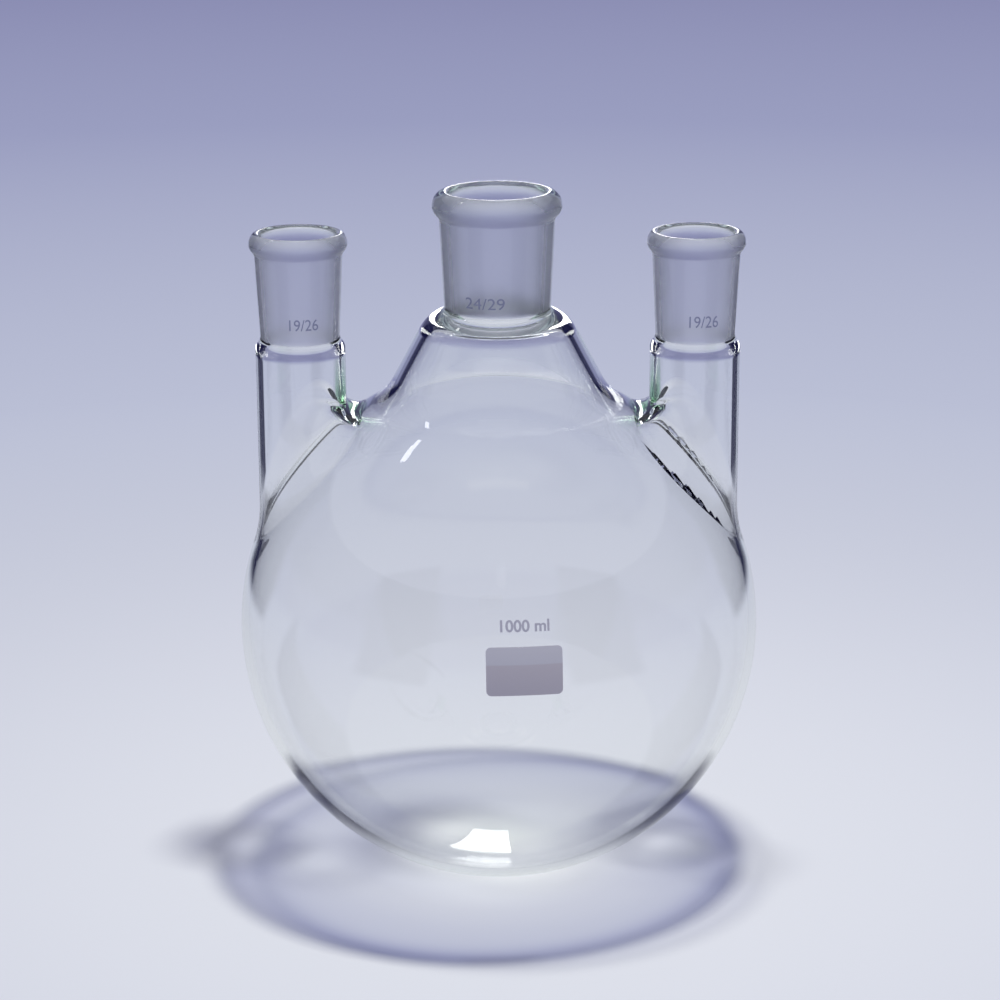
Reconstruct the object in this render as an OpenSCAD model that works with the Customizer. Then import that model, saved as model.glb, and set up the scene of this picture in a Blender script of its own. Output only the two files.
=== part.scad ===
// Three neck round bottom flask with ground socket joints, blown as one piece
// of borosilicate glass. The origin is the lowest point of the bulb and +Z
// runs up the middle of the centre neck. The side necks stand on the X axis,
// parallel to the centre neck, and the marking patch faces -Y.
// All sizes are in millimetres.

/* [Bulb] */
// Outer diameter of the bulb
bulb_d = 131; // [120:1:145]
// Glass thickness of the bulb
bulb_wall = 2.1; // [1.6:0.1:2.8]

/* [Shoulder] */
// Width across the straight flank, level with the top of the bulb
flank_d = 50; // [46:1:54]
// Slope of the flank, from upright, in degrees
flank_angle = 28; // [24:1:32]
// Glass thickness of the flank
flank_wall = 2.7; // [2:0.1:3.4]
// Outer rounding between the flank and the centre neck
crown_r = 10; // [9:0.5:12]
// Inner rounding between the flank and the centre neck
crown_inner_r = 6; // [4:0.5:7]
// Height of the centre of both roundings above the top of the bulb
crown_rise = 5.5; // [4:0.5:7]
// Outer blend of the flank into the bulb
flank_blend = 15; // [10:1:20]
// Inner blend of the flank into the bulb
flank_inner_blend = 17; // [12:1:22]

/* [Centre neck] */
// Height of the centre rim above the top of the bulb
centre_rise = 45; // [42:1:55]
// Wide end of the centre socket
centre_bore_d = 24; // [23:0.1:25]
// Length of the ground zone of the centre socket
centre_ground = 29; // [25:1:30]
// Glass thickness of the centre socket
centre_wall = 2.6; // [2:0.1:3.2]
// Outer diameter of the bead round the centre rim
centre_bead_d = 32; // [31:0.5:34]
// Section radius of the bead round the centre rim
centre_bead_r = 3.5; // [3:0.1:4]

/* [Side necks] */
// Distance between the axes of the two side necks
side_spacing = 98; // [94:1:102]
// Height of the side rims above the top of the bulb
side_rise = 34.8; // [30:0.2:45]
// Wide end of a side socket
side_bore_d = 18.8; // [18:0.1:19.4]
// Length of the ground zone of a side socket
side_ground = 26; // [22:1:28]
// Glass thickness of a side socket
side_wall = 1.7; // [1.4:0.1:2]
// Outer diameter of the bead round a side rim
side_bead_d = 24.3; // [24:0.1:26]
// Section radius of the bead round a side rim
side_bead_r = 3; // [2.6:0.1:3.4]
// Outer diameter of the tube between a side socket and the bulb
tube_d = 22.4; // [22:0.1:24]
// Glass thickness of that tube
tube_wall = 1.7; // [1.4:0.1:2]
// Rounding of the step from the tube to the socket, outside and inside
tube_round = 3; // [2:0.1:4]
// Fillet between that step and the socket, outside and inside
step_fillet = 3; // [2:0.1:4]
// Height from the start of the outer step up to the end of the ground zone
tube_drop = 2.4; // [1:0.1:3]
// Height from the start of the inner step up to the end of the ground zone
tube_inner_drop = 4.2; // [3.8:0.1:5]

/* [Rims and fillets] */
// Inner rounding of each rim
lip_r = 1; // [0.8:0.1:1.3]
// Fillet under each bead
bead_fillet = 1; // [0.6:0.1:1.5]
// Fillet between the centre socket and its shoulder, outside and inside
socket_fillet = 1.5; // [1:0.1:2]

/* [Marking patch] */
// Width of the enamel field for pencil notes
patch_w = 18; // [12:1:24]
// Height of the enamel field
patch_h = 11.6; // [8:0.2:16]
// Corner radius of the enamel field
patch_corner = 1.2; // [0.6:0.1:2]
// Thickness of the fired enamel
patch_t = 0.1; // [0.05:0.01:0.2]
// Place of the field's middle, towards +X from the middle of the bulb
patch_x = 6; // [-10:1:10]
// Place of the field's middle, above the middle of the bulb
patch_z = 9; // [-10:1:14]

/* [Hidden] */
$fn = 128;

bulb_r = bulb_d / 2;
cavity_r = bulb_r - bulb_wall;

// Radius lost for each millimetre of depth in a 1 in 10 taper
taper = 1 / 20;

// Each rounding reaches this far into what it blends with, so that their
// outlines cross cleanly and never only touch
bite = 0.001;
// Reach of helper outlines into the glass behind a fillet
root = 0.4;
// Reach of the hollow past the rims
clear = 3;

// Levels of the rims and the crown above the middle of the bulb
centre_rim_z = bulb_r + centre_rise;
side_rim_z = bulb_r + side_rise;
crown_z = bulb_r + crown_rise;
// A side tube starts inside the cavity, this far above the bulb's middle
tube_start_z = 8;

// ---- plane geometry -------------------------------------------------------

function unit(v) = v / norm(v);

// Unit direction at an angle
function dir(a) = [cos(a), sin(a)];

// Centre of the circle of radius f that touches, from outside, both the
// circle of radius r about c and the line through p with outward normal n.
// The line leaves the circle at two places: side is 1 for the one on the
// left of the normal, looking along it, and -1 for the one on its right.
function blend_centre(c, r, p, n, f, side) =
    let (d = [-n.y, n.x],
         q = p + f * n - c,
         b = q * d,
         s = -b + side * sqrt(b * b - q * q + (r + f) * (r + f)))
    c + q + s * d;

// Fills the nook between a line and a circle with a fillet of radius f
module blend(c, r, p, n, f, side) {
    centre = blend_centre(c, r, p, n, f, side);
    nook = blend_centre(c, r, p, n, 0, side);
    difference() {
        polygon([
            centre,
            centre - (f + root) * n,
            nook + root * unit(nook - centre),
            centre + (f + root) * unit(c - centre),
        ]);
        translate(centre) circle(f + bite);
    }
}

// The half of a disc on the +X side of the axis
module half_disc(c, r) {
    intersection() {
        translate(c) circle(r);
        translate([0, c.y - r - 1]) square([c.x + r + 1, 2 * r + 2]);
    }
}

// ---- outlines shared by the three necks -----------------------------------
// A neck's outlines are drawn with the rim at Y = 0 and the axis on X = 0.

// Outer radius of a socket at its wide end, and the normal of its slope
function socket_edge(bore_d, wall) = [bore_d / 2 + wall, -lip_r];
slope_normal = unit([1, -taper]);

// Middle of the bead's section: the lip lies inside it and touches it
function bead_centre(bore_d, bead_d, bead_r) =
    let (x = bead_d / 2 - bead_r)
    [x, -lip_r - sqrt(pow(bead_r - lip_r, 2) - pow(bore_d / 2 + lip_r - x, 2))];

// Outside of a socket with its bead, down to the given depth
module socket_outside(bore_d, wall, bead_d, bead_r, depth) {
    edge = socket_edge(bore_d, wall);
    bead = bead_centre(bore_d, bead_d, bead_r);
    polygon([
        [0, -depth],
        [edge.x - taper * (depth - lip_r), -depth],
        [edge.x + taper * (bead.y + lip_r), bead.y],
        [0, bead.y],
    ]);
    half_disc(bead, bead_r);
    blend(bead, bead_r, edge, slope_normal, bead_fillet, -1);
}

// Hollow of a socket: the ground taper, the rounded lip and a short straight
// stretch down to the given depth
module socket_hollow(bore_d, ground, bead_d, bead_r, depth) {
    wide = bore_d / 2;
    narrow = wide - taper * ground;
    bead = bead_centre(bore_d, bead_d, bead_r);
    lip = [wide + lip_r, -lip_r];
    out = unit(lip - bead);
    polygon([
        [0, -depth],
        [narrow, -depth],
        [narrow, -lip_r - ground],
        [wide, -lip_r],
        [wide, clear],
        [0, clear],
    ]);
    difference() {
        polygon([
            [0, lip.y],
            lip,
            lip + out * (clear - lip.y) / out.y,
            [0, clear],
        ]);
        translate(lip) circle(lip_r + bite);
    }
}

// ---- centre neck, shoulder and bulb ---------------------------------------
// Drawn with the middle of the bulb at the origin.

flank_normal = dir(flank_angle);
flank_down = dir(flank_angle - 90);

// A point of the flank, moved in by the glass thickness for the hollow
function flank_point(inset) = [flank_d / 2, bulb_r] - inset * flank_normal;

// Centre of the rounding of radius r that touches the flank from inside
function crown_centre(inset, r) =
    let (p = flank_point(inset) - r * flank_normal,
         run = (p.y - crown_z) / cos(flank_angle))
    p + run * flank_down;

// Bulb and shoulder of ball radius r, up to the crown's rounding
module bulb_outline(r, inset, round_r, blend_r) {
    crown = crown_centre(inset, round_r);
    nook = blend_centre([0, 0], r, flank_point(inset), flank_normal, 0, 1);
    half_disc([0, 0], r);
    half_disc(crown, round_r + bite);
    polygon([
        [0, 0],
        nook + root * flank_down,
        crown + round_r * flank_normal,
        crown,
        [0, crown.y],
    ]);
    blend([0, 0], r, flank_point(inset), flank_normal, blend_r, 1);
}

module body_outside() {
    crown = crown_centre(0, crown_r);
    edge = socket_edge(centre_bore_d, centre_wall) + [0, centre_rim_z];
    bulb_outline(bulb_r, 0, crown_r, flank_blend);
    translate([0, centre_rim_z])
        socket_outside(centre_bore_d, centre_wall, centre_bead_d,
                       centre_bead_r, centre_rim_z - crown.y);
    blend(crown, crown_r, edge, slope_normal, socket_fillet, 1);
}

module body_hollow() {
    crown = crown_centre(flank_wall, crown_inner_r);
    narrow = centre_bore_d / 2 - taper * centre_ground;
    bulb_outline(cavity_r, flank_wall, crown_inner_r, flank_inner_blend);
    translate([0, centre_rim_z])
        socket_hollow(centre_bore_d, centre_ground, centre_bead_d,
                      centre_bead_r, centre_rim_z - crown.y);
    blend(crown, crown_inner_r, [narrow, 0], [1, 0], socket_fillet, 1);
}

// ---- side necks -----------------------------------------------------------

// Tube with its rounded step up to the socket. edge and normal give the
// socket's slope, and level is where the step starts.
module tube_outline(r, level, edge, normal) {
    round_c = [r - tube_round, level];
    start = tube_start_z - side_rim_z;
    translate([0, start]) square([r, level - start]);
    half_disc(round_c, tube_round + bite);
    blend(round_c, tube_round, edge, normal, step_fillet, 1);
}

module side_outside() {
    step = -lip_r - side_ground - tube_drop;
    socket_outside(side_bore_d, side_wall, side_bead_d, side_bead_r, -step);
    tube_outline(tube_d / 2, step, socket_edge(side_bore_d, side_wall),
                 slope_normal);
}

module side_hollow() {
    step = -lip_r - side_ground - tube_inner_drop;
    narrow = side_bore_d / 2 - taper * side_ground;
    socket_hollow(side_bore_d, side_ground, side_bead_d, side_bead_r, -step);
    tube_outline(tube_d / 2 - tube_wall, step, [narrow, 0], [1, 0]);
}

// Puts a side neck's solid on both sides of the bulb
module at_side_necks() {
    for (side = [-1, 1])
        translate([side * side_spacing / 2, 0, bulb_r + side_rim_z])
            children();
}

// ---- solids ---------------------------------------------------------------

module flask() {
    color([0.82, 0.87, 0.93, 0.4])
    difference() {
        union() {
            translate([0, 0, bulb_r]) rotate_extrude() body_outside();
            at_side_necks() rotate_extrude() side_outside();
        }
        translate([0, 0, bulb_r]) rotate_extrude() body_hollow();
        at_side_necks() rotate_extrude() side_hollow();
    }
}

// The field's outline: a rectangle with round corners
module patch_outline() {
    x = patch_w / 2 - patch_corner;
    y = patch_h / 2 - patch_corner;
    square([2 * x, patch_h], center = true);
    square([patch_w, 2 * y], center = true);
    for (i = [-1, 1], j = [-1, 1])
        translate([i * x, j * y]) circle(patch_corner + bite);
}

// Enamel fired onto the bulb, a thin shell cut to the field's outline
module marking_patch() {
    turn = asin(patch_x / bulb_r);
    lift = asin(patch_z / bulb_r);
    color([0.66, 0.67, 0.72])
    translate([0, 0, bulb_r])
    intersection() {
        difference() {
            sphere(bulb_r + patch_t);
            sphere(bulb_r);
        }
        rotate([0, 0, turn]) rotate([90 - lift, 0, 0])
            linear_extrude(bulb_d) patch_outline();
    }
}

flask();
marking_patch();
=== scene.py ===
"""Looks of a three neck round bottom flask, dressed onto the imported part.

The flask is one piece of blown borosilicate glass: a round bulb, a conical
shoulder with the centre neck, and two parallel side necks. Every neck ends in
a ground socket with a beaded rim. The glass is built here as one smooth
closed skin, outside and inside, with the welds of the side necks rounded.
"""

from __future__ import annotations

import logging
import math
from collections.abc import Iterable
from dataclasses import dataclass, replace
from enum import Enum

import bmesh
import bpy
from mathutils import Matrix, Vector

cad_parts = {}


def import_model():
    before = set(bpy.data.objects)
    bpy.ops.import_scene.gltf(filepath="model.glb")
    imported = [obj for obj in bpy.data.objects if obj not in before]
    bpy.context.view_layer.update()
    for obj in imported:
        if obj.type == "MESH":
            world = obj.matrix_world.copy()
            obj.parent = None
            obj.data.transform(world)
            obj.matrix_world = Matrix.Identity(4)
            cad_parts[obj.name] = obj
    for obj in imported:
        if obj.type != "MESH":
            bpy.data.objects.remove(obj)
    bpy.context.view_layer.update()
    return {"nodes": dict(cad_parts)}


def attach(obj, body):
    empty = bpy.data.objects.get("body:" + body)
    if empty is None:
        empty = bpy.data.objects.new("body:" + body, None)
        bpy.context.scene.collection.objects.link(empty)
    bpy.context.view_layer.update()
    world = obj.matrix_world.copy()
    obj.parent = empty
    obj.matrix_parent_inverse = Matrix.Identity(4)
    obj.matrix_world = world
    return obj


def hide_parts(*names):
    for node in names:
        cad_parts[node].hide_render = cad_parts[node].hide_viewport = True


log = logging.getLogger("three_neck_flask")

MM = 0.001
ARC_STEP = math.radians(4.0)
BALL_STEP = math.radians(2.0)
AIM_HEIGHT = 0.07
POLE_R = 1e-6

NodeSocket = bpy.types.NodeSocket
Colour = tuple[float, float, float]
Stops = tuple[tuple[float, Colour], ...]


class Side(Enum):
    """The side of the flask that a side neck stands on, with the sign of its X."""

    LEFT = -1
    RIGHT = 1


class Face(Enum):
    """A face of the glass wall."""

    INNER = "inner"
    OUTER = "outer"


class Nook(Enum):
    """The nook that a fillet fills, seen along the straight line's normal."""

    LEFT = 1
    RIGHT = -1


# --------------------------------------------------------------------------
# Plane geometry of the outlines


@dataclass(frozen=True)
class OutlinePoint:
    """One point of a neck's or the bulb's outline, with the way out of the glass."""

    place: Vector
    outward: Vector
    ground: bool = False


def turned(vector: Vector, angle: float) -> Vector:
    """Returns a plane vector turned to the left by an angle."""
    cos, sin = math.cos(angle), math.sin(angle)
    return Vector((vector.x * cos - vector.y * sin, vector.x * sin + vector.y * cos))


def direction(degrees: float) -> Vector:
    """Returns the unit plane vector at an angle in degrees."""
    return turned(Vector((1.0, 0.0)), math.radians(degrees))


def fillet_centre(
    centre: Vector, radius: float, point: Vector, normal: Vector, fillet: float, nook: Nook
) -> Vector:
    """Finds the fillet that touches a circle and a straight line from outside.

    Args:
        centre: The circle's centre.
        radius: The circle's radius.
        point: A point of the line.
        normal: The line's normal, on the fillet's side.
        fillet: The fillet's radius.
        nook: The nook that it fills.

    Returns:
        The centre of the fillet.
    """
    along = Vector((-normal.y, normal.x))
    start = point + fillet * normal - centre
    middle = start.dot(along)
    reach = math.sqrt(middle**2 - start.dot(start) + (radius + fillet) ** 2)
    return centre + start + (nook.value * reach - middle) * along


def arc(
    centre: Vector, first: Vector, last: Vector, glass_inside: bool, step: float = ARC_STEP
) -> list[OutlinePoint]:
    """Follows the shorter arc round a centre.

    Args:
        centre: The arc's centre.
        first: Where the arc starts.
        last: Where the arc ends.
        glass_inside: True if the glass lies on the centre's side of the arc.
        step: The widest angle between two points.

    Returns:
        The arc's points, both ends included.
    """
    start = first - centre
    end = last - centre
    sweep = math.atan2(start.x * end.y - start.y * end.x, start.dot(end))
    count = max(2, math.ceil(abs(sweep) / step))
    sign = 1.0 if glass_inside else -1.0
    spokes = [turned(start, sweep * i / count) for i in range(count + 1)]
    return [OutlinePoint(centre + spoke, sign * spoke.normalized()) for spoke in spokes]


# --------------------------------------------------------------------------
# Finishes


class Nodes:
    """A short way to write a material's or the world's node tree."""

    def __init__(self, tree: bpy.types.NodeTree) -> None:
        """Empties the tree."""
        self.tree = tree
        tree.nodes.clear()

    def add(self, kind: str, values: dict | None = None, **settings) -> bpy.types.Node:
        """Adds one node.

        Args:
            kind: The node's type without the ShaderNode prefix.
            values: Input names to a value or to the socket that feeds it.
            settings: Properties of the node itself.

        Returns:
            The new node.
        """
        node = self.tree.nodes.new("ShaderNode" + kind)
        for name, value in settings.items():
            setattr(node, name, value)
        for name, value in (values or {}).items():
            if isinstance(value, NodeSocket):
                self.tree.links.new(value, node.inputs[name])
            else:
                node.inputs[name].default_value = value
        return node

    def math(self, operation: str, *values: float | NodeSocket) -> NodeSocket:
        """Adds a sum, a product or another operation and returns its value."""
        return self.add("Math", dict(enumerate(values)), operation=operation).outputs[0]

    def ease(self, value: NodeSocket, start: float, end: float) -> NodeSocket:
        """Returns a value that rises smoothly from 0 to 1 between two limits."""
        limits = {"Value": value, "From Min": start, "From Max": end}
        return self.add("MapRange", limits, interpolation_type="SMOOTHSTEP").outputs[0]

    def blend(
        self, factor: NodeSocket, first: Colour | NodeSocket, second: Colour | NodeSocket
    ) -> NodeSocket:
        """Blends two colours.

        Args:
            factor: The share of the second colour.
            first: The colour at 0.
            second: The colour at 1.

        Returns:
            The blend's colour.
        """
        first, second = (
            colour if isinstance(colour, NodeSocket) else (*colour, 1.0)
            for colour in (first, second)
        )
        mix = self.add("Mix", {"Factor": factor, 6: first, 7: second}, data_type="RGBA")
        return mix.outputs[2]

    def choose(
        self, factor: NodeSocket, first: bpy.types.Node, second: bpy.types.Node
    ) -> bpy.types.Node:
        """Adds a choice or a blend of two shaders.

        Args:
            factor: The share of the second shader.
            first: The shader at 0.
            second: The shader at 1.

        Returns:
            The mix of the two.
        """
        shaders = {0: factor, 1: first.outputs[0], 2: second.outputs[0]}
        return self.add("MixShader", shaders)

    def ramp(self, factor: NodeSocket, stops: Iterable[tuple[float, Colour]]) -> NodeSocket:
        """Adds a colour ramp.

        Args:
            factor: The socket that the ramp reads.
            stops: Places from 0 to 1, each with its linear colour.

        Returns:
            The ramp's colour.
        """
        node = self.add("ValToRGB", {"Fac": factor})
        elements = node.color_ramp.elements
        first, *between, last = stops
        for element, (place, colour) in zip(elements, (first, last)):
            element.position = place
            element.color = (*colour, 1.0)
        for place, colour in between:
            elements.new(place).color = (*colour, 1.0)
        return node.outputs["Color"]


def srgb(red: int, green: int, blue: int) -> Colour:
    """Turns a screen colour into a linear one.

    Args:
        red: The screen's red, from 0 to 255.
        green: The screen's green.
        blue: The screen's blue.

    Returns:
        The linear colour.
    """

    def linear(value: int) -> float:
        """Undoes the screen's curve for one channel."""
        share = value / 255
        return share / 12.92 if share <= 0.04045 else ((share + 0.055) / 1.055) ** 2.4

    return (linear(red), linear(green), linear(blue))


def new_material(name: str) -> tuple[bpy.types.Material, Nodes]:
    """Makes an empty node material.

    Args:
        name: The material's name.

    Returns:
        The material and its tree.
    """
    material = bpy.data.materials.new(name)
    material.use_nodes = True
    return material, Nodes(material.node_tree)


@dataclass(frozen=True)
class Glass:
    """Borosilicate glass, clear or ground by the faces' own mark.

    Light for the floor and for matt surfaces passes straight through it, and
    loses more where it meets the wall at a slant, as in the real one.
    """

    name: str
    ior: float = 1.473
    ground_roughness: float = 0.5
    ground_tint: Colour = (0.94, 0.94, 1.0)
    ground_passed: Colour = (0.03, 0.03, 0.07)
    clear_tint: Colour = (1.0, 1.0, 1.0)
    thick_tint: Colour = (0.30, 0.66, 0.34)
    passed: Stops = (
        (0.0, (0.995, 0.995, 0.995)),
        (0.06, (0.97, 0.97, 0.975)),
        (0.13, (0.945, 0.945, 0.96)),
        (0.3, (0.92, 0.92, 0.945)),
        (0.5, (0.895, 0.895, 0.93)),
        (0.65, (0.78, 0.78, 0.86)),
        (0.8, (0.60, 0.60, 0.74)),
        (0.9, (0.08, 0.08, 0.15)),
        (1.0, (0.01, 0.01, 0.03)),
    )
    absorbed: Colour = (0.30, 0.78, 0.45)
    absorption: float = 6.0

    def skin(self, nodes: Nodes, roughness: float, tint: Colour | NodeSocket) -> bpy.types.Node:
        """Adds one polished or ground face.

        Args:
            nodes: The glass's node tree.
            roughness: 0 for polished glass, more for ground glass.
            tint: What the face lets through.

        Returns:
            The face's shader.
        """
        return nodes.add(
            "BsdfPrincipled",
            {
                "Base Color": tint if isinstance(tint, NodeSocket) else (*tint, 1.0),
                "Roughness": roughness,
                "IOR": self.ior,
                "Transmission Weight": 1.0,
            },
        )

    def build(self) -> bpy.types.Material:
        """Returns the material."""
        material, nodes = new_material(self.name)
        ground = nodes.add("Attribute", attribute_name="ground").outputs["Fac"]
        thick = nodes.add("Attribute", attribute_name="thick").outputs["Fac"]
        tint = nodes.blend(thick, self.clear_tint, self.thick_tint)
        clear = self.skin(nodes, 0.0, tint)
        matt = self.skin(nodes, self.ground_roughness, self.ground_tint)
        body = nodes.choose(ground, clear, matt)
        slant = nodes.add("LayerWeight", {"Blend": 0.5}).outputs["Facing"]
        dimmed = nodes.blend(ground, nodes.ramp(slant, self.passed), self.ground_passed)
        straight = nodes.add("BsdfTransparent", {"Color": dimmed})
        path = nodes.add("LightPath").outputs
        to_matt = nodes.math("MAXIMUM", path["Is Shadow Ray"], path["Is Diffuse Ray"])
        surface = nodes.choose(to_matt, body, straight)
        inside = nodes.add(
            "VolumeAbsorption", {"Color": (*self.absorbed, 1.0), "Density": self.absorption}
        )
        nodes.add("OutputMaterial", {"Surface": surface.outputs[0], "Volume": inside.outputs[0]})
        return material


@dataclass(frozen=True)
class Enamel:
    """Matt enamel fired onto the glass, a little paler above a level."""

    name: str
    colour: Colour
    pale: Colour
    pale_above: float | None = None
    pale_share: float = 0.8
    pale_edge: float = 0.15 * MM
    roughness: float = 0.55
    mottle_scale: float = 900.0
    mottle_share: float = 0.16
    grain: float = 0.02 * MM
    grain_strength: float = 0.15

    def build(self) -> bpy.types.Material:
        """Returns the material."""
        material, nodes = new_material(self.name)
        place = nodes.add("TexCoord").outputs["Object"]
        texture = {"Vector": place, "Scale": self.mottle_scale, "Detail": 4.0}
        mottle = nodes.add("TexNoise", texture).outputs["Fac"]
        share = nodes.add("MapRange", {"Value": mottle, "To Max": self.mottle_share}).outputs[0]
        if self.pale_above is not None:
            above = nodes.add(
                "MapRange",
                {
                    "Value": nodes.add("SeparateXYZ", {0: place}).outputs["Z"],
                    "From Min": self.pale_above - self.pale_edge,
                    "From Max": self.pale_above + self.pale_edge,
                    "To Max": self.pale_share,
                },
            )
            share = nodes.math("ADD", share, above.outputs[0])
        colour = nodes.ramp(share, [(0.0, self.colour), (1.0, self.pale)])
        relief = {"Strength": self.grain_strength, "Distance": self.grain, "Height": mottle}
        bump = nodes.add("Bump", relief).outputs["Normal"]
        finish = {"Base Color": colour, "Roughness": self.roughness, "Normal": bump}
        skin = nodes.add("BsdfPrincipled", finish)
        nodes.add("OutputMaterial", {"Surface": skin.outputs[0]})
        return material


BLOWN_GLASS = Glass("blown_glass")
PATCH_ENAMEL = Enamel(
    "patch_enamel", srgb(205, 199, 203), srgb(214, 214, 220), pale_above=76 * MM
)
BULB_PRINT = Enamel("bulb_print", srgb(188, 188, 200), srgb(200, 200, 212))
SOCKET_PRINT = Enamel("socket_print", srgb(172, 174, 196), srgb(184, 186, 206))


# --------------------------------------------------------------------------
# Meshes


class Skin:
    """A mesh whose vertices know the way out of the glass.

    The glass reads the vertex layer "thick" as it is. "bore" marks the vertices
    of the ground zones, and a face between such vertices alone is "ground".
    """

    def __init__(self) -> None:
        """Starts an empty mesh with its layers."""
        self.bm = bmesh.new()
        layers = self.bm.verts.layers
        self.outward = layers.float_vector.new("outward")
        self.bore = layers.int.new("bore")
        self.index = layers.int.new("outline_index")
        self.thick = layers.int.new("thick")

    def spin(
        self, outline: list[OutlinePoint], axis: Vector, steps: int
    ) -> list[bmesh.types.BMVert]:
        """Turns an outline into a round wall.

        Args:
            outline: The points of the wall's section, from the axis's foot.
            axis: The foot of the upright axis.
            steps: How many flat strips make the round.

        Returns:
            The wall's vertices.
        """
        old = set(self.bm.verts)
        start = []
        for index, point in enumerate(outline):
            vert = self.bm.verts.new(axis + Vector((point.place.x, 0.0, point.place.y)))
            vert[self.outward] = (point.outward.x, 0.0, point.outward.y)
            vert[self.bore] = int(point.ground)
            vert[self.index] = index
            start.append(vert)
        edges = [self.bm.edges.new(pair) for pair in zip(start, start[1:])]
        bmesh.ops.spin(
            self.bm, geom=start + edges, cent=axis, axis=(0.0, 0.0, 1.0), angle=math.tau,
            steps=steps, use_merge=True,
        )
        wall = [v for v in self.bm.verts if v not in old]
        for vert in wall:
            angle = math.atan2(vert.co.y - axis.y, vert.co.x - axis.x)
            out = vert[self.outward]
            vert[self.outward] = (out.x * math.cos(angle), out.x * math.sin(angle), out.z)
        return wall

    def close_poles(self) -> None:
        """Welds the rings that lie on the middle axis to single points."""
        poles = [v for v in self.bm.verts if math.hypot(v.co.x, v.co.y) < POLE_R]
        bmesh.ops.remove_doubles(self.bm, verts=poles, dist=10 * POLE_R)

    def finish(
        self, name: str, material: bpy.types.Material, closed: bool = True
    ) -> bpy.types.Object:
        """Turns the skin into a smooth object.

        Args:
            name: The object's name.
            material: The finish of all its faces.
            closed: True if the skin must be a closed one.

        Returns:
            The object, in the scene.
        """
        bm = self.bm
        if closed:
            bmesh.ops.recalc_face_normals(bm, faces=bm.faces)
            torn = sum(not e.is_manifold for e in bm.edges)
            if torn:
                raise ValueError(f"{name} has {torn} open edges")
        for face in bm.faces:
            face.smooth = True
        mesh = bpy.data.meshes.new(name)
        normals = [Vector(v[self.outward]).normalized() for v in bm.verts]
        ground = [float(all(v[self.bore] for v in f.verts)) for f in bm.faces]
        bm.to_mesh(mesh)
        log.info("%s: %d vertices, %d faces", name, len(bm.verts), len(bm.faces))
        bm.free()
        mesh.attributes.new("ground", "FLOAT", "FACE").data.foreach_set("value", ground)
        mesh.materials.append(material)
        mesh.normals_split_custom_set_from_vertices(normals)
        piece = bpy.data.objects.new(name, mesh)
        bpy.context.collection.objects.link(piece)
        return piece


# --------------------------------------------------------------------------
# The glass


@dataclass(frozen=True)
class Socket:
    """A ground socket with its lip and bead. Its outlines have the rim at 0."""

    bore_d: float
    ground: float
    wall: float
    bead_d: float
    bead_r: float
    lip_r: float = 1.0 * MM
    bead_fillet: float = 1.0 * MM
    fillet: float = 1.5 * MM
    taper: float = 1 / 20

    @property
    def slope(self) -> Vector:
        """The normal of the socket's outer slope."""
        return Vector((1.0, -self.taper)).normalized()

    @property
    def edge(self) -> Vector:
        """The outer slope's point level with the wide end of the bore."""
        return Vector((self.bore_d / 2 + self.wall, -self.lip_r))

    @property
    def narrow(self) -> Vector:
        """The bore's edge at the bottom of the ground zone."""
        radius = self.bore_d / 2 - self.taper * self.ground
        return Vector((radius, -self.lip_r - self.ground))

    @property
    def bead(self) -> Vector:
        """The middle of the bead's section."""
        x = self.bead_d / 2 - self.bead_r
        side = self.bore_d / 2 + self.lip_r - x
        return Vector((x, -self.lip_r - math.sqrt((self.bead_r - self.lip_r) ** 2 - side**2)))

    def outline(self) -> list[OutlinePoint]:
        """Returns the points from the ground zone's foot over the rim to the bead's foot."""
        wide = Vector((self.bore_d / 2, -self.lip_r))
        lip = wide + Vector((self.lip_r, 0.0))
        bead = self.bead
        crest = bead + self.bead_r * (lip - bead).normalized()
        nook = fillet_centre(
            bead, self.bead_r, self.edge, self.slope, self.bead_fillet, Nook.RIGHT
        )
        under = bead + self.bead_r * (nook - bead).normalized()
        bore = Vector((-1.0, self.taper)).normalized()
        return [
            OutlinePoint(self.narrow, bore, ground=True),
            OutlinePoint(wide, bore, ground=True),
            *arc(lip, wide, crest, True)[1:],
            *(
                replace(point, ground=point.place.y < bead.y)
                for point in arc(bead, crest, under, True)[1:]
            ),
            *(
                replace(point, ground=True)
                for point in arc(nook, under, nook - self.bead_fillet * self.slope, False)[1:]
            ),
        ]


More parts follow.
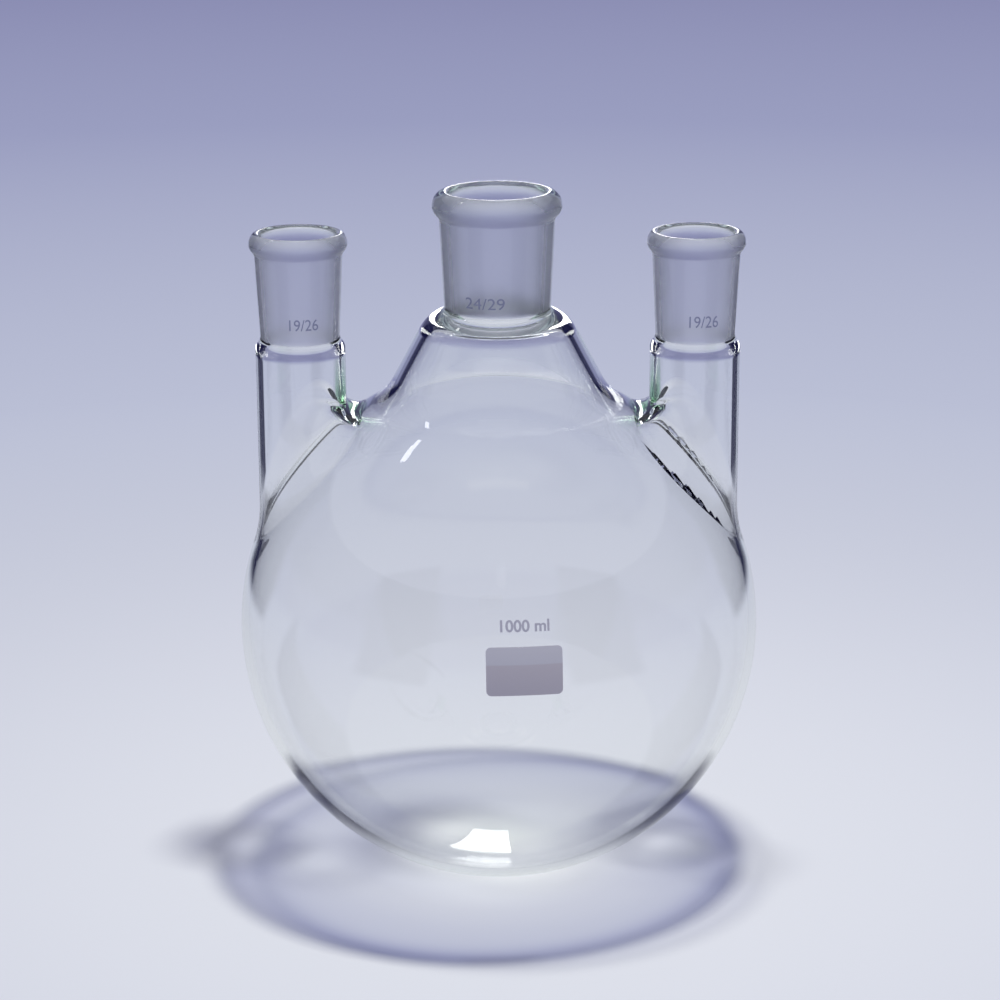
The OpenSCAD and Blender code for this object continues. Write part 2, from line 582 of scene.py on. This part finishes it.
@dataclass(frozen=True)
class Weld:
    """The rounded weld where a side tube leaves the ball, outside or inside.

    The rounding is tight in the nook towards the centre neck and grows wide
    on the far side, where the tube runs out into the ball.
    """

    ball_r: float
    tube_r: float
    tight: float
    wide: float
    axis_x: float
    face: Face

    def fillet(self, angle: float) -> float:
        """The rounding's radius at an angle about the tube."""
        away = (1.0 + math.copysign(1.0, self.axis_x) * math.cos(angle)) / 2
        return self.tight + self.wide * away

    def ring_centre(self, angle: float) -> Vector:
        """Finds the centre of the rounding.

        Args:
            angle: The angle about the tube's axis.

        Returns:
            The centre, from the ball's middle.
        """
        fillet = self.fillet(angle)
        x = self.axis_x + (self.tube_r + fillet) * math.cos(angle)
        y = (self.tube_r + fillet) * math.sin(angle)
        return Vector((x, y, math.sqrt((self.ball_r + fillet) ** 2 - x * x - y * y)))

    def point(self, angle: float, share: float) -> Vector:
        """Finds a point of the rounding.

        Args:
            angle: The angle about the tube's axis.
            share: 0 on the tube, 1 on the ball.

        Returns:
            The point, from the ball's middle.
        """
        centre = self.ring_centre(angle)
        to_tube = -Vector((math.cos(angle), math.sin(angle), 0.0))
        return centre + self.fillet(angle) * to_tube.slerp(-centre.normalized(), share)

    def outward(self, angle: float, share: float) -> Vector:
        """Finds the way out of the glass at a point of the rounding.

        Args:
            angle: The angle about the tube's axis.
            share: 0 on the tube, 1 on the ball.

        Returns:
            The unit normal.
        """
        step = 1e-3
        low, high = max(share - step, 0.0), min(share + step, 1.0)
        round_way = self.point(angle + step, share) - self.point(angle - step, share)
        down_way = self.point(angle, high) - self.point(angle, low)
        normal = round_way.cross(down_way).normalized()
        to_centre = self.ring_centre(angle) - self.point(angle, share)
        faces_centre = normal.dot(to_centre) > 0
        return -normal if faces_centre == (self.face is Face.INNER) else normal

    def foot(self, steps: int = 180) -> list[Vector]:
        """Returns the weld's edge on the ball."""
        return [self.point(math.tau * i / steps, 1.0) for i in range(steps)]


@dataclass(frozen=True)
class Cover:
    """The part of the ball under a weld, seen from above.

    Its reach is an angle about its middle with the distance to its edge there.
    """

    middle: Vector
    reach: tuple[tuple[float, float], ...]

    @staticmethod
    def of(weld: Weld, margin: float) -> Cover:
        """Finds the part under a weld.

        Args:
            weld: The weld.
            margin: How far the part reaches past the weld's foot.

        Returns:
            The covered part.
        """
        foot = [point.xy for point in weld.foot()]
        middle = sum(foot, Vector((0.0, 0.0))) / len(foot)
        spokes = [point - middle for point in foot]
        reach = sorted((math.atan2(s.y, s.x), s.length + margin) for s in spokes)
        return Cover(middle, tuple(reach))

    def holds(self, place: Vector) -> bool:
        """Tells whether a place on the ball lies in this part.

        Args:
            place: The place, from the ball's middle.

        Returns:
            True if it does.
        """
        spoke = place.xy - self.middle
        if place.z <= 0.0 or spoke.length > 2 * self.reach[0][1]:
            return False
        angle = math.atan2(spoke.y, spoke.x)
        _, reach = min(self.reach, key=lambda part: abs(part[0] - angle))
        return spoke.length < reach


@dataclass
class FlaskGlass:
    """The blown glass: bulb, shoulder, centre neck and both side necks."""

    bulb_d: float = 131 * MM
    bulb_wall: float = 2.1 * MM
    flank_d: float = 50 * MM
    flank_angle: float = 28.0
    flank_wall: float = 2.7 * MM
    crown_r: float = 10 * MM
    crown_inner_r: float = 6 * MM
    crown_rise: float = 5.5 * MM
    flank_blend: float = 15 * MM
    flank_inner_blend: float = 17 * MM
    centre_rise: float = 45 * MM
    centre: Socket = Socket(24 * MM, 29 * MM, 2.6 * MM, 32 * MM, 3.5 * MM)
    side_spacing: float = 98 * MM
    side_rise: float = 34.8 * MM
    side: Socket = Socket(18.8 * MM, 26 * MM, 1.7 * MM, 24.3 * MM, 3 * MM)
    tube_d: float = 22.4 * MM
    tube_wall: float = 1.7 * MM
    tube_round: float = 3 * MM
    step_fillet: float = 3 * MM
    tube_drop: float = 2.4 * MM
    tube_inner_drop: float = 4.2 * MM
    weld_tight: float = 2.2 * MM
    weld_wide: float = 27 * MM
    weld_inner_tight: float = 3.0 * MM
    weld_inner_wide: float = 28.1 * MM
    lump_angle: float = math.radians(24.0)
    body_steps: int = 192
    neck_steps: int = 96
    weld_steps: int = 8
    band: float = 1.2 * MM
    finish: Glass = BLOWN_GLASS

    @property
    def bulb_r(self) -> float:
        """The bulb's outer radius."""
        return self.bulb_d / 2

    @property
    def cavity_r(self) -> float:
        """The radius of the bulb's inside."""
        return self.bulb_r - self.bulb_wall

    @property
    def middle(self) -> Vector:
        """The middle of the bulb."""
        return Vector((0.0, 0.0, self.bulb_r))

    def shell(
        self,
        ball_r: float,
        inset: float,
        round_r: float,
        blend_r: float,
        edge: Vector,
        slope: Vector,
        face: Face,
    ) -> list[OutlinePoint]:
        """Follows one face of the bulb and shoulder, from the lowest point to the neck.

        Args:
            ball_r: The radius of the ball.
            inset: How far the flank lies inside the outer one.
            round_r: The radius of the crown's rounding.
            blend_r: The radius of the blend between flank and ball.
            edge: A point of the neck's face above.
            slope: That face's normal, away from the axis.
            face: Which face it is.

        Returns:
            The points of the face.
        """
        outside = face is Face.OUTER
        origin = Vector((0.0, 0.0))
        normal = direction(self.flank_angle)
        down = direction(self.flank_angle - 90.0)
        flank = Vector((self.flank_d / 2, self.bulb_r)) - inset * normal
        hub = flank - round_r * normal
        crown_z = self.bulb_r + self.crown_rise
        crown = hub + (hub.y - crown_z) / math.cos(math.radians(self.flank_angle)) * down
        blend = fillet_centre(origin, ball_r, flank, normal, blend_r, Nook.LEFT)
        on_ball = ball_r * blend.normalized()
        fillet_r = self.centre.fillet
        fillet = fillet_centre(crown, round_r, edge, slope, fillet_r, Nook.LEFT)
        on_crown = crown + round_r * (fillet - crown).normalized()
        return [
            *arc(origin, Vector((0.0, -ball_r)), on_ball, outside, BALL_STEP),
            *arc(blend, on_ball, blend - blend_r * normal, not outside)[1:],
            *arc(crown, crown + round_r * normal, on_crown, outside),
            *arc(fillet, on_crown, fillet - fillet_r * slope, not outside)[1:],
        ]

    def body_outline(self) -> list[OutlinePoint]:
        """Returns the outline of bulb, shoulder and centre neck, from inside to outside."""
        lift = Vector((0.0, self.bulb_r + self.centre_rise))
        inner = self.shell(
            self.cavity_r, self.flank_wall, self.crown_inner_r, self.flank_inner_blend,
            self.centre.narrow + lift, Vector((1.0, 0.0)), Face.INNER,
        )
        outer = self.shell(
            self.bulb_r, 0.0, self.crown_r, self.flank_blend,
            self.centre.edge + lift, self.centre.slope, Face.OUTER,
        )
        rim = [
            OutlinePoint(p.place + lift, p.outward, p.ground) for p in self.centre.outline()
        ]
        return [*inner, *rim, *reversed(outer)]

    def tube_step(
        self, radius: float, drop: float, edge: Vector, slope: Vector, face: Face
    ) -> list[OutlinePoint]:
        """Follows the rounded step from a side tube up to its socket.

        Args:
            radius: The tube's radius on this face.
            drop: How far the step starts below the ground zone.
            edge: A point of the socket's face above.
            slope: That face's normal, away from the axis.
            face: Which face it is.

        Returns:
            The points of the step.
        """
        outside = face is Face.OUTER
        level = self.side.narrow.y - drop
        hub = Vector((radius - self.tube_round, level))
        nook = fillet_centre(hub, self.tube_round, edge, slope, self.step_fillet, Nook.LEFT)
        turn = hub + self.tube_round * (nook - hub).normalized()
        return [
            *arc(hub, Vector((radius, level)), turn, outside),
            *arc(nook, turn, nook - self.step_fillet * slope, not outside)[1:],
        ]

    def neck_outline(self) -> list[OutlinePoint]:
        """Returns a side neck's outline above its welds, from inside to outside."""
        inner = self.tube_step(
            self.tube_d / 2 - self.tube_wall, self.tube_inner_drop,
            self.side.narrow, Vector((1.0, 0.0)), Face.INNER,
        )
        outer = self.tube_step(
            self.tube_d / 2, self.tube_drop, self.side.edge, self.side.slope, Face.OUTER
        )
        return [*inner, *self.side.outline(), *reversed(outer)]

    def axis_x(self, side: Side) -> float:
        """The X of a side neck's upright axis."""
        return side.value * self.side_spacing / 2

    def weld(self, side: Side, face: Face) -> Weld:
        """Sizes the weld of one side neck.

        Args:
            side: Where the neck stands.
            face: The face of the glass that the weld is on.

        Returns:
            The weld.
        """
        axis_x = self.axis_x(side)
        tube_r = self.tube_d / 2
        if face is Face.OUTER:
            return Weld(self.bulb_r, tube_r, self.weld_tight, self.weld_wide, axis_x, face)
        return Weld(
            self.cavity_r, tube_r - self.tube_wall, self.weld_inner_tight,
            self.weld_inner_wide, axis_x, face,
        )

    def add_side_neck(self, skin: Skin, side: Side) -> None:
        """Adds one side neck, with its foot drawn out to the welds.

        Args:
            skin: The mesh that gets the neck.
            side: Where the neck stands.
        """
        inner, outer = (self.weld(side, face) for face in Face)
        shares = [i / self.weld_steps for i in range(self.weld_steps + 1)]
        rings: list[tuple[Weld, float]] = [
            *((inner, share) for share in reversed(shares)),
            *((outer, share) for share in shares),
        ]
        axis = Vector((self.axis_x(side), 0.0, 0.0))
        lift = Vector((0.0, self.bulb_d + self.side_rise))
        neck = [
            OutlinePoint(p.place + lift, p.outward, p.ground) for p in self.neck_outline()
        ]
        feet = []
        for weld, share in rings:
            place = weld.point(0.0, share)
            flat = Vector((place.x - axis.x, place.z + self.bulb_r))
            feet.append(OutlinePoint(flat, Vector((0.0, 1.0))))
        half = len(shares)
        outline = [*feet[:half], *neck, *feet[half:]]
        wall = skin.spin(outline, axis, self.neck_steps)
        tags = {i: rings[i] for i in range(half)}
        tags |= {len(outline) - half + i: rings[half + i] for i in range(half)}
        for vert in wall:
            if vert[skin.index] not in tags:
                continue
            weld, share = tags[vert[skin.index]]
            angle = math.atan2(vert.co.y - axis.y, vert.co.x - axis.x)
            vert.co = weld.point(angle, share) + self.middle
            vert[skin.outward] = weld.outward(angle, share)
            toward_centre = -side.value * math.cos(angle)
            vert[skin.thick] = int(toward_centre > math.cos(self.lump_angle))

    def face_at(self, place: Vector) -> Face:
        """The face of the ball's glass that a place on it belongs to."""
        halfway = (self.bulb_r + self.cavity_r) / 2
        return Face.INNER if (place - self.middle).length < halfway else Face.OUTER

    def open_ball(self, skin: Skin) -> None:
        """Opens the ball's two faces where the side necks stand.

        Args:
            skin: The mesh of the ball.
        """
        covers = {
            (side, face): Cover.of(self.weld(side, face), self.band)
            for side in Side
            for face in Face
        }
        doomed = []
        for panel in skin.bm.faces:
            side = Side.RIGHT if panel.calc_center_median().x > 0 else Side.LEFT
            cover = covers[side, self.face_at(panel.verts[0].co)]
            if any(cover.holds(v.co - self.middle) for v in panel.verts):
                doomed.append(panel)
        bmesh.ops.delete(skin.bm, geom=doomed, context="FACES")

    def close_bands(self, skin: Skin) -> None:
        """Joins the foot of each weld to the ball round it.

        Args:
            skin: The mesh that holds both.
        """
        for side in Side:
            toward = self.weld(side, Face.OUTER).ring_centre(math.pi / 2)
            toward.y = 0.0
            for face in Face:
                edges = [
                    e
                    for e in skin.bm.edges
                    if e.is_boundary
                    and side.value * e.verts[0].co.x > 0
                    and self.face_at(e.verts[0].co) is face
                ]
                bmesh.ops.triangle_fill(
                    skin.bm, use_beauty=True, edges=edges, normal=toward.normalized()
                )

    def build(self) -> bpy.types.Object:
        """Returns the glass, standing in for the plain solid."""
        skin = Skin()
        skin.spin(self.body_outline(), self.middle, self.body_steps)
        skin.close_poles()
        self.open_ball(skin)
        for side in Side:
            self.add_side_neck(skin, side)
        self.close_bands(skin)
        piece = skin.finish("flask_glass", self.finish.build())
        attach(piece, "root")
        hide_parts("flask")
        return piece


# --------------------------------------------------------------------------
# Enamel on the glass


class OnGlass:
    """A face of the glass that takes a print."""

    def place(self, across: float, up: float) -> tuple[Vector, Vector]:
        """Wraps a point of the print.

        Args:
            across: Distance to the right of the print's middle.
            up: Distance above it.

        Returns:
            The place on the glass and the way out of it.
        """
        raise NotImplementedError


@dataclass(frozen=True)
class OnBulb(OnGlass):
    """The bulb's outside, around a place given by its distances from the bulb's middle."""

    radius: float
    x: float
    z: float

    def place(self, across: float, up: float) -> tuple[Vector, Vector]:
        """Wraps a point of the print onto the ball.

        Args:
            across: Distance to the right of the print's middle.
            up: Distance above it.

        Returns:
            The place on the glass and the way out of it.
        """
        latitude = math.asin(self.z / self.radius) + up / self.radius
        turn = math.asin(self.x / self.radius) + across / self.radius / math.cos(latitude)
        outward = Vector((
            math.sin(turn) * math.cos(latitude),
            -math.cos(turn) * math.cos(latitude),
            math.sin(latitude),
        ))
        return Vector((0.0, 0.0, self.radius)) + self.radius * outward, outward


@dataclass(frozen=True)
class OnSocket(OnGlass):
    """The outer slope of a socket, around an angle and a height."""

    axis_x: float
    edge: Vector
    taper: float
    turn: float
    z: float

    def place(self, across: float, up: float) -> tuple[Vector, Vector]:
        """Wraps a point of the print onto the slope.

        Args:
            across: Distance to the right of the print's middle.
            up: Distance above it.

        Returns:
            The place on the glass and the way out of it.
        """
        z = self.z + up
        radius = self.edge.x - self.taper * (self.edge.y - z)
        angle = math.radians(self.turn) + across / radius
        outward = Vector((math.sin(angle), -math.cos(angle), -self.taper)).normalized()
        x, y = math.sin(angle) * radius, -math.cos(angle) * radius
        return Vector((self.axis_x + x, y, z)), outward


@dataclass(frozen=True)
class Print:
    """Figures printed in enamel, wrapped onto the glass."""

    name: str
    figures: str
    width: float
    height: float
    ground: OnGlass
    finish: Enamel
    weight: float = 0.0
    thickness: float = 0.03 * MM
    strip: float = 0.4 * MM

    def build(self) -> bpy.types.Object:
        """Returns the print as a thin mesh just proud of the glass."""
        text = bpy.data.curves.new(self.name, "FONT")
        text.body = self.figures
        text.offset = self.weight
        writer = bpy.data.objects.new(self.name + "_text", text)
        bpy.context.collection.objects.link(writer)
        flat = bpy.data.meshes.new_from_object(
            writer.evaluated_get(bpy.context.evaluated_depsgraph_get())
        )
        bpy.data.objects.remove(writer)
        bm = bmesh.new()
        bm.from_mesh(flat)
        xs = [v.co.x for v in bm.verts]
        ys = [v.co.y for v in bm.verts]
        for vert in bm.verts:
            vert.co.x = (vert.co.x - min(xs)) / (max(xs) - min(xs)) * self.width
            vert.co.y = (vert.co.y - min(ys)) / (max(ys) - min(ys)) * self.height
        for i in range(1, math.ceil(self.width / self.strip)):
            bmesh.ops.bisect_plane(
                bm,
                geom=[*bm.verts, *bm.edges, *bm.faces],
                plane_co=(i * self.strip, 0.0, 0.0),
                plane_no=(1.0, 0.0, 0.0),
            )
        for vert in bm.verts:
            place, outward = self.ground.place(
                vert.co.x - self.width / 2, vert.co.y - self.height / 2
            )
            vert.co = place + self.thickness * outward
        bm.to_mesh(flat)
        bm.free()
        flat.materials.clear()
        flat.materials.append(self.finish.build())
        piece = bpy.data.objects.new(self.name, flat)
        bpy.context.collection.objects.link(piece)
        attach(piece, "root")
        log.info("%s: %d faces", self.name, len(flat.polygons))
        return piece


@dataclass
class EnamelMarks:
    """The field for pencil notes, the capacity and the socket sizes."""

    glass: FlaskGlass
    patch_finish: Enamel = PATCH_ENAMEL

    def dress_patch(self, node: bpy.types.Object) -> None:
        """Gives the enamel field its finish.

        Args:
            node: The field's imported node.
        """
        node.data.materials.clear()
        node.data.materials.append(self.patch_finish.build())
        log.info("%s: dressed", node.name)

    def prints(self) -> list[Print]:
        """Returns the figures on the bulb and the three sockets."""
        glass = self.glass
        top = glass.bulb_d
        centre_edge = glass.centre.edge + Vector((0.0, top + glass.centre_rise))
        side_edge = glass.side.edge + Vector((0.0, top + glass.side_rise))
        left, right = (glass.axis_x(side) for side in Side)
        taper = glass.centre.taper
        on_bulb = OnBulb(glass.bulb_r, 6.3 * MM, 19.4 * MM)
        on_centre = OnSocket(0.0, centre_edge, taper, turn=-13.8, z=150.4 * MM)
        on_left = OnSocket(left, side_edge, taper, turn=9.5, z=144.6 * MM)
        on_right = OnSocket(right, side_edge, taper, turn=8.5, z=145.0 * MM)
        return [
            Print("capacity", "1000 ml", 11.6 * MM, 2.9 * MM, on_bulb, BULB_PRINT, weight=0.025),
            Print("centre_size", "24/29", 10.0 * MM, 2.8 * MM, on_centre, SOCKET_PRINT),
            Print("left_size", "19/26", 7.2 * MM, 2.8 * MM, on_left, SOCKET_PRINT),
            Print("right_size", "19/26", 7.3 * MM, 2.9 * MM, on_right, SOCKET_PRINT),
        ]

    def build(self, node: bpy.types.Object) -> None:
        """Dresses the field and builds the figures.

        Args:
            node: The field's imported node.
        """
        self.dress_patch(node)
        for mark in self.prints():
            mark.build()


# --------------------------------------------------------------------------
# Studio


def mirrored(nodes: Nodes, path: bpy.types.bpy_prop_collection) -> NodeSocket:
    """Returns 1 for rays that the glass has mirrored, and 0 for others."""
    return nodes.math("GREATER_THAN", path["Glossy Depth"], 0.5)


@dataclass
class Sweep:
    """A pale round floor that rises to a wall, darker with distance.

    Dark sectors, a dark upper wall and a dark ring round the bulb's foot are
    painted on it for the glass's mirrors alone: painted shade for the glass's
    dark edges and for the shadow ring. A painted glow under the bulb stands for
    the light that the ball gathers there. Zones and shades are given by the
    distance from the middle, in metres.
    """

    near: float = 0.16
    far: float = 0.5
    reach: float = 4.0
    wall_r: float = 2.4
    wall_h: float = 1.3
    bend_r: float = 0.5
    floor_rings: tuple[float, ...] = (0.0, 0.06, 0.12, 0.24, 0.5, 1.0)
    steps: int = 96
    # Painted light: a glowing pool on the floor under the bulb, for the light that the ball
    # gathers there.
    painted_glow: Stops = (
        (0.0, (0.26, 0.27, 0.24)),
        (0.012, (0.17, 0.18, 0.16)),
        (0.036, (0.0, 0.0, 0.0)),
    )
    # Painted shade: the dark colour that only the glass's mirrors see on the sweep.
    painted_mirror_shade: Colour = (0.010, 0.010, 0.045)
    shade_sector_count: float = 4.0
    shade_sector_edges: tuple[float, float] = (-0.3, -0.6)
    mirror_shade_wall_foot: float = 0.2
    mirror_shade_wall_top: float = 0.5
    shade_sector_zone: Stops = (
        (0.34, (0.0, 0.0, 0.0)),
        (0.42, (1.0, 1.0, 1.0)),
    )
    # Painted shadow ring round the bulb's foot, seen only in the glass's mirrors.
    painted_shadow_ring_zone: Stops = (
        (0.028, (0.0, 0.0, 0.0)),
        (0.045, (1.0, 1.0, 1.0)),
        (0.075, (1.0, 1.0, 1.0)),
        (0.09, (0.0, 0.0, 0.0)),
    )
    wall_crossings: float = 2.0
    crossings_either_way: float = 1.5
    # Darker with distance: partly the backdrop's own colour, partly painted fall-off of the
    # light. The first, brightest stop under the bulb is painted light that the ball gathers
    # there.
    shades: Stops = (
        (0.0, srgb(246, 248, 252)),
        (0.04, srgb(222, 226, 236)),
        (0.5, srgb(186, 191, 213)),
        (1.2, srgb(154, 158, 192)),
        (2.0, srgb(138, 140, 178)),
        (4.0, srgb(120, 122, 162)),
    )

    def material(self) -> bpy.types.Material:
        """Returns the sweep's material: it takes shadows near the flask only."""
        material, nodes = new_material("studio_sweep")
        place = nodes.add("TexCoord").outputs["Object"]
        parts = nodes.add("SeparateXYZ", {0: place}).outputs
        flat = nodes.add("CombineXYZ", {0: parts["X"], 1: parts["Y"]}).outputs[0]
        away = nodes.add("VectorMath", {0: flat}, operation="LENGTH").outputs["Value"]
        share = nodes.math("DIVIDE", nodes.math("ADD", away, parts["Z"]), self.reach)
        colour = nodes.ramp(share, [(at / self.reach, shade) for at, shade in self.shades])
        # Painted shade: the floor's colour turns dark where only mirrored rays see it.
        seen = nodes.blend(self.painted_mirror_shade_share(nodes, parts, away), colour, self.painted_mirror_shade)
        matt = nodes.add("BsdfDiffuse", {"Color": seen})
        even = nodes.add("Emission", {"Color": seen})
        surface = nodes.choose(nodes.ease(away, self.near, self.far), matt, even)
        # Painted pool of light under the bulb, added on top of the floor's own shading.
        painted_pool_of_light = nodes.add("Emission", {"Color": nodes.ramp(away, self.painted_glow)})
        lit = nodes.add("AddShader", {0: surface.outputs[0], 1: painted_pool_of_light.outputs[0]})
        nodes.add("OutputMaterial", {"Surface": lit.outputs[0]})
        material.cycles.emission_sampling = "NONE"
        return material

    def painted_mirror_shade_share(
        self, nodes: Nodes, parts: bpy.types.bpy_prop_collection, away: NodeSocket
    ) -> NodeSocket:
        """Paints dark reflections on the sweep, seen only in the glass's inner mirrors.

        Args:
            nodes: The sweep's node tree.
            parts: The sockets X, Y and Z of the place on the sweep.
            away: Its distance from the middle.

        Returns:
            How much of the painted shade shows, from 0 to 1.
        """
        turn = nodes.math("ARCTAN2", parts["X"], parts["Y"])
        swing = nodes.math("COSINE", nodes.math("MULTIPLY", turn, self.shade_sector_count))
        painted_mirror_shade = nodes.ease(swing, *self.shade_sector_edges)
        beside = nodes.math("MULTIPLY", painted_mirror_shade, nodes.ramp(away, self.shade_sector_zone))
        high = nodes.ease(parts["Z"], self.mirror_shade_wall_foot, self.mirror_shade_wall_top)
        ends = nodes.math("MAXIMUM", high, nodes.ramp(away, self.painted_shadow_ring_zone))
        path = nodes.add("LightPath").outputs
        one_wall = nodes.math(
            "COMPARE", path["Transmission Depth"], self.wall_crossings, self.crossings_either_way
        )
        there = nodes.math("MAXIMUM", beside, nodes.math("MULTIPLY", ends, one_wall))
        return nodes.math("MULTIPLY", there, mirrored(nodes, path))

    def build(self) -> bpy.types.Object:
        """Returns the sweep."""
        bend = Vector((self.wall_r - self.bend_r, self.bend_r))
        up = Vector((0.0, 1.0))
        outline = [OutlinePoint(Vector((r, 0.0)), up) for r in self.floor_rings]
        outline += arc(bend, Vector((bend.x, 0.0)), Vector((self.wall_r, bend.y)), False)
        outline.append(OutlinePoint(Vector((self.wall_r, self.wall_h)), Vector((-1.0, 0.0))))
        skin = Skin()
        skin.spin(outline, Vector((0.0, 0.0, 0.0)), self.steps)
        skin.close_poles()
        piece = skin.finish("studio_sweep", self.material(), closed=False)
        return piece


def facing_flask(toward: tuple[float, float, float], distance: float) -> Matrix:
    """Returns the place of a softbox or card that faces the flask.

    Args:
        toward: The way from the flask to it.
        distance: How far away it stands.

    Returns:
        A matrix whose Z axis points away from the flask.
    """
    way = Vector(toward).normalized()
    turn = way.to_track_quat("Z", "Y").to_matrix().to_4x4()
    return Matrix.Translation(Vector((0.0, 0.0, AIM_HEIGHT)) + distance * way) @ turn


@dataclass(frozen=True)
class Softbox:
    """A square softbox that lights the floor and the enamel."""

    name: str
    toward: tuple[float, float, float]
    distance: float
    side: float
    radiance: float
    colour: Colour = (1.0, 0.985, 0.90)

    def build(self) -> None:
        """Adds the softbox."""
        lamp = bpy.data.lights.new(self.name, "AREA")
        lamp.size = self.side
        lamp.color = self.colour
        lamp.energy = self.radiance * math.pi * self.side**2
        holder = bpy.data.objects.new(self.name, lamp)
        holder.matrix_world = facing_flask(self.toward, self.distance)
        holder.visible_glossy = False
        holder.visible_transmission = False
        holder.visible_camera = False
        bpy.context.collection.objects.link(holder)


@dataclass(frozen=True)
class Card:
    """A bright card that shows in the glass as a highlight and lights nothing else."""

    name: str
    toward: tuple[float, float, float]
    width: float
    height: float
    radiance: float
    distance: float = 1.0
    roll: float = 0.0
    outer_skin_only: bool = False

    def material(self) -> bpy.types.Material:
        """Returns the card's material, seen only by rays that the glass has mirrored."""
        material, nodes = new_material(self.name)
        material.cycles.emission_sampling = "NONE"
        path = nodes.add("LightPath").outputs
        shown = mirrored(nodes, path)
        if self.outer_skin_only:
            shown = nodes.math("GREATER_THAN", shown, path["Transmission Depth"])
        clear = nodes.add("BsdfTransparent")
        bright = nodes.add("Emission", {"Strength": self.radiance})
        surface = nodes.choose(shown, clear, bright)
        nodes.add("OutputMaterial", {"Surface": surface.outputs[0]})
        return material

    def build(self) -> None:
        """Adds the card."""
        bm = bmesh.new()
        bmesh.ops.create_grid(bm, size=0.5)
        spread = Matrix.Diagonal((self.width, self.height, 1.0, 1.0))
        turn = Matrix.Rotation(self.roll, 4, "Z")
        bm.transform(facing_flask(self.toward, self.distance) @ turn @ spread)
        mesh = bpy.data.meshes.new(self.name)
        bm.to_mesh(mesh)
        bm.free()
        mesh.materials.append(self.material())
        card = bpy.data.objects.new(self.name, mesh)
        bpy.context.collection.objects.link(card)
        card.visible_camera = False
        card.visible_diffuse = False
        card.visible_shadow = False


@dataclass(frozen=True)
class Lighting:
    """The softboxes, the cards and the room's even light.

    The room is brighter to the glass's mirrors and lenses than to matt surfaces.
    """

    softboxes: tuple[Softbox, ...] = (
        Softbox("key", (0.10, -0.06, 1.2), 1.2, 0.11, 265.0),
        Softbox("fill", (-0.09, 0.06, 2.0), 2.0, 0.18, 100.0),
    )
    cards: tuple[Card, ...] = (
        Card("window", (0.04, 0.927, 0.375), 0.135, 0.44, 7.0),
        Card(
            "spark", (-0.56, 0.33, 1.01), 0.22, 0.05, 9.0,
            distance=1.18, roll=math.radians(-10), outer_skin_only=True,
        ),
        Card("strip", (0.0, -0.2, 0.97), 0.4, 0.08, 0.8),
    )
    room: Colour = (0.15, 0.15, 0.19)
    seen_room: Colour = (0.44, 0.45, 0.54)

    def build(self) -> None:
        """Adds the softboxes, the cards and the world."""
        for light in (*self.softboxes, *self.cards):
            light.build()
        world = bpy.data.worlds.new("studio")
        bpy.context.scene.world = world
        world.use_nodes = True
        nodes = Nodes(world.node_tree)
        path = nodes.add("LightPath").outputs
        seen = nodes.math("MAXIMUM", path["Is Glossy Ray"], path["Is Transmission Ray"])
        shade = nodes.blend(seen, self.room, self.seen_room)
        room = nodes.add("Background", {"Color": shade, "Strength": 1.0})
        nodes.add("OutputWorld", {"Surface": room.outputs[0]})


@dataclass(frozen=True)
class Viewpoint:
    """The camera: a long lens a little above the flask."""

    place: Vector
    lens: float
    pitch: float
    yaw: float
    roll: float
    sensor: float = 36.0
    reach: tuple[float, float] = (0.05, 20.0)

    def build(self) -> None:
        """Adds the camera and makes it the scene's."""
        pitch, yaw, roll = (math.radians(a) for a in (self.pitch, self.yaw, self.roll))
        ahead = Vector((
            math.sin(yaw) * math.cos(pitch), math.cos(yaw) * math.cos(pitch), -math.sin(pitch)
        ))
        level = Vector((math.cos(yaw), -math.sin(yaw), 0.0))
        top = level.cross(ahead)
        right = math.cos(roll) * level + math.sin(roll) * top
        up = math.cos(roll) * top - math.sin(roll) * level
        camera = bpy.data.cameras.new("camera")
        camera.lens = self.lens
        camera.sensor_width = self.sensor
        camera.clip_start, camera.clip_end = self.reach
        holder = bpy.data.objects.new("camera", camera)
        turn = Matrix((right, up, -ahead)).transposed().to_4x4()
        holder.matrix_world = Matrix.Translation(self.place) @ turn
        bpy.context.collection.objects.link(holder)
        bpy.context.scene.camera = holder


def let_light_through(cycles: bpy.types.PropertyGroup) -> None:
    """Allows the bounces that light needs to cross all the walls of the glass.

    Args:
        cycles: The scene's path settings.
    """
    cycles.max_bounces = 24
    cycles.glossy_bounces = 12
    cycles.transmission_bounces = 20
    cycles.transparent_max_bounces = 20


def main() -> None:
    """Dresses the flask and sets the studio round it."""
    logging.basicConfig(level=logging.INFO, format="%(name)s: %(message)s")
    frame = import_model()
    bpy.context.scene.view_settings.view_transform = "Standard"
    let_light_through(bpy.context.scene.cycles)
    glass = FlaskGlass()
    glass.build()
    EnamelMarks(glass).build(frame["nodes"]["marking_patch"])
    Sweep().build()
    Lighting().build()
    Viewpoint(
        place=Vector((0.0, -0.7, 0.30545)), lens=104.206, pitch=16.585, yaw=0.033, roll=-0.262
    ).build()


if __name__ == "__main__":
    main()
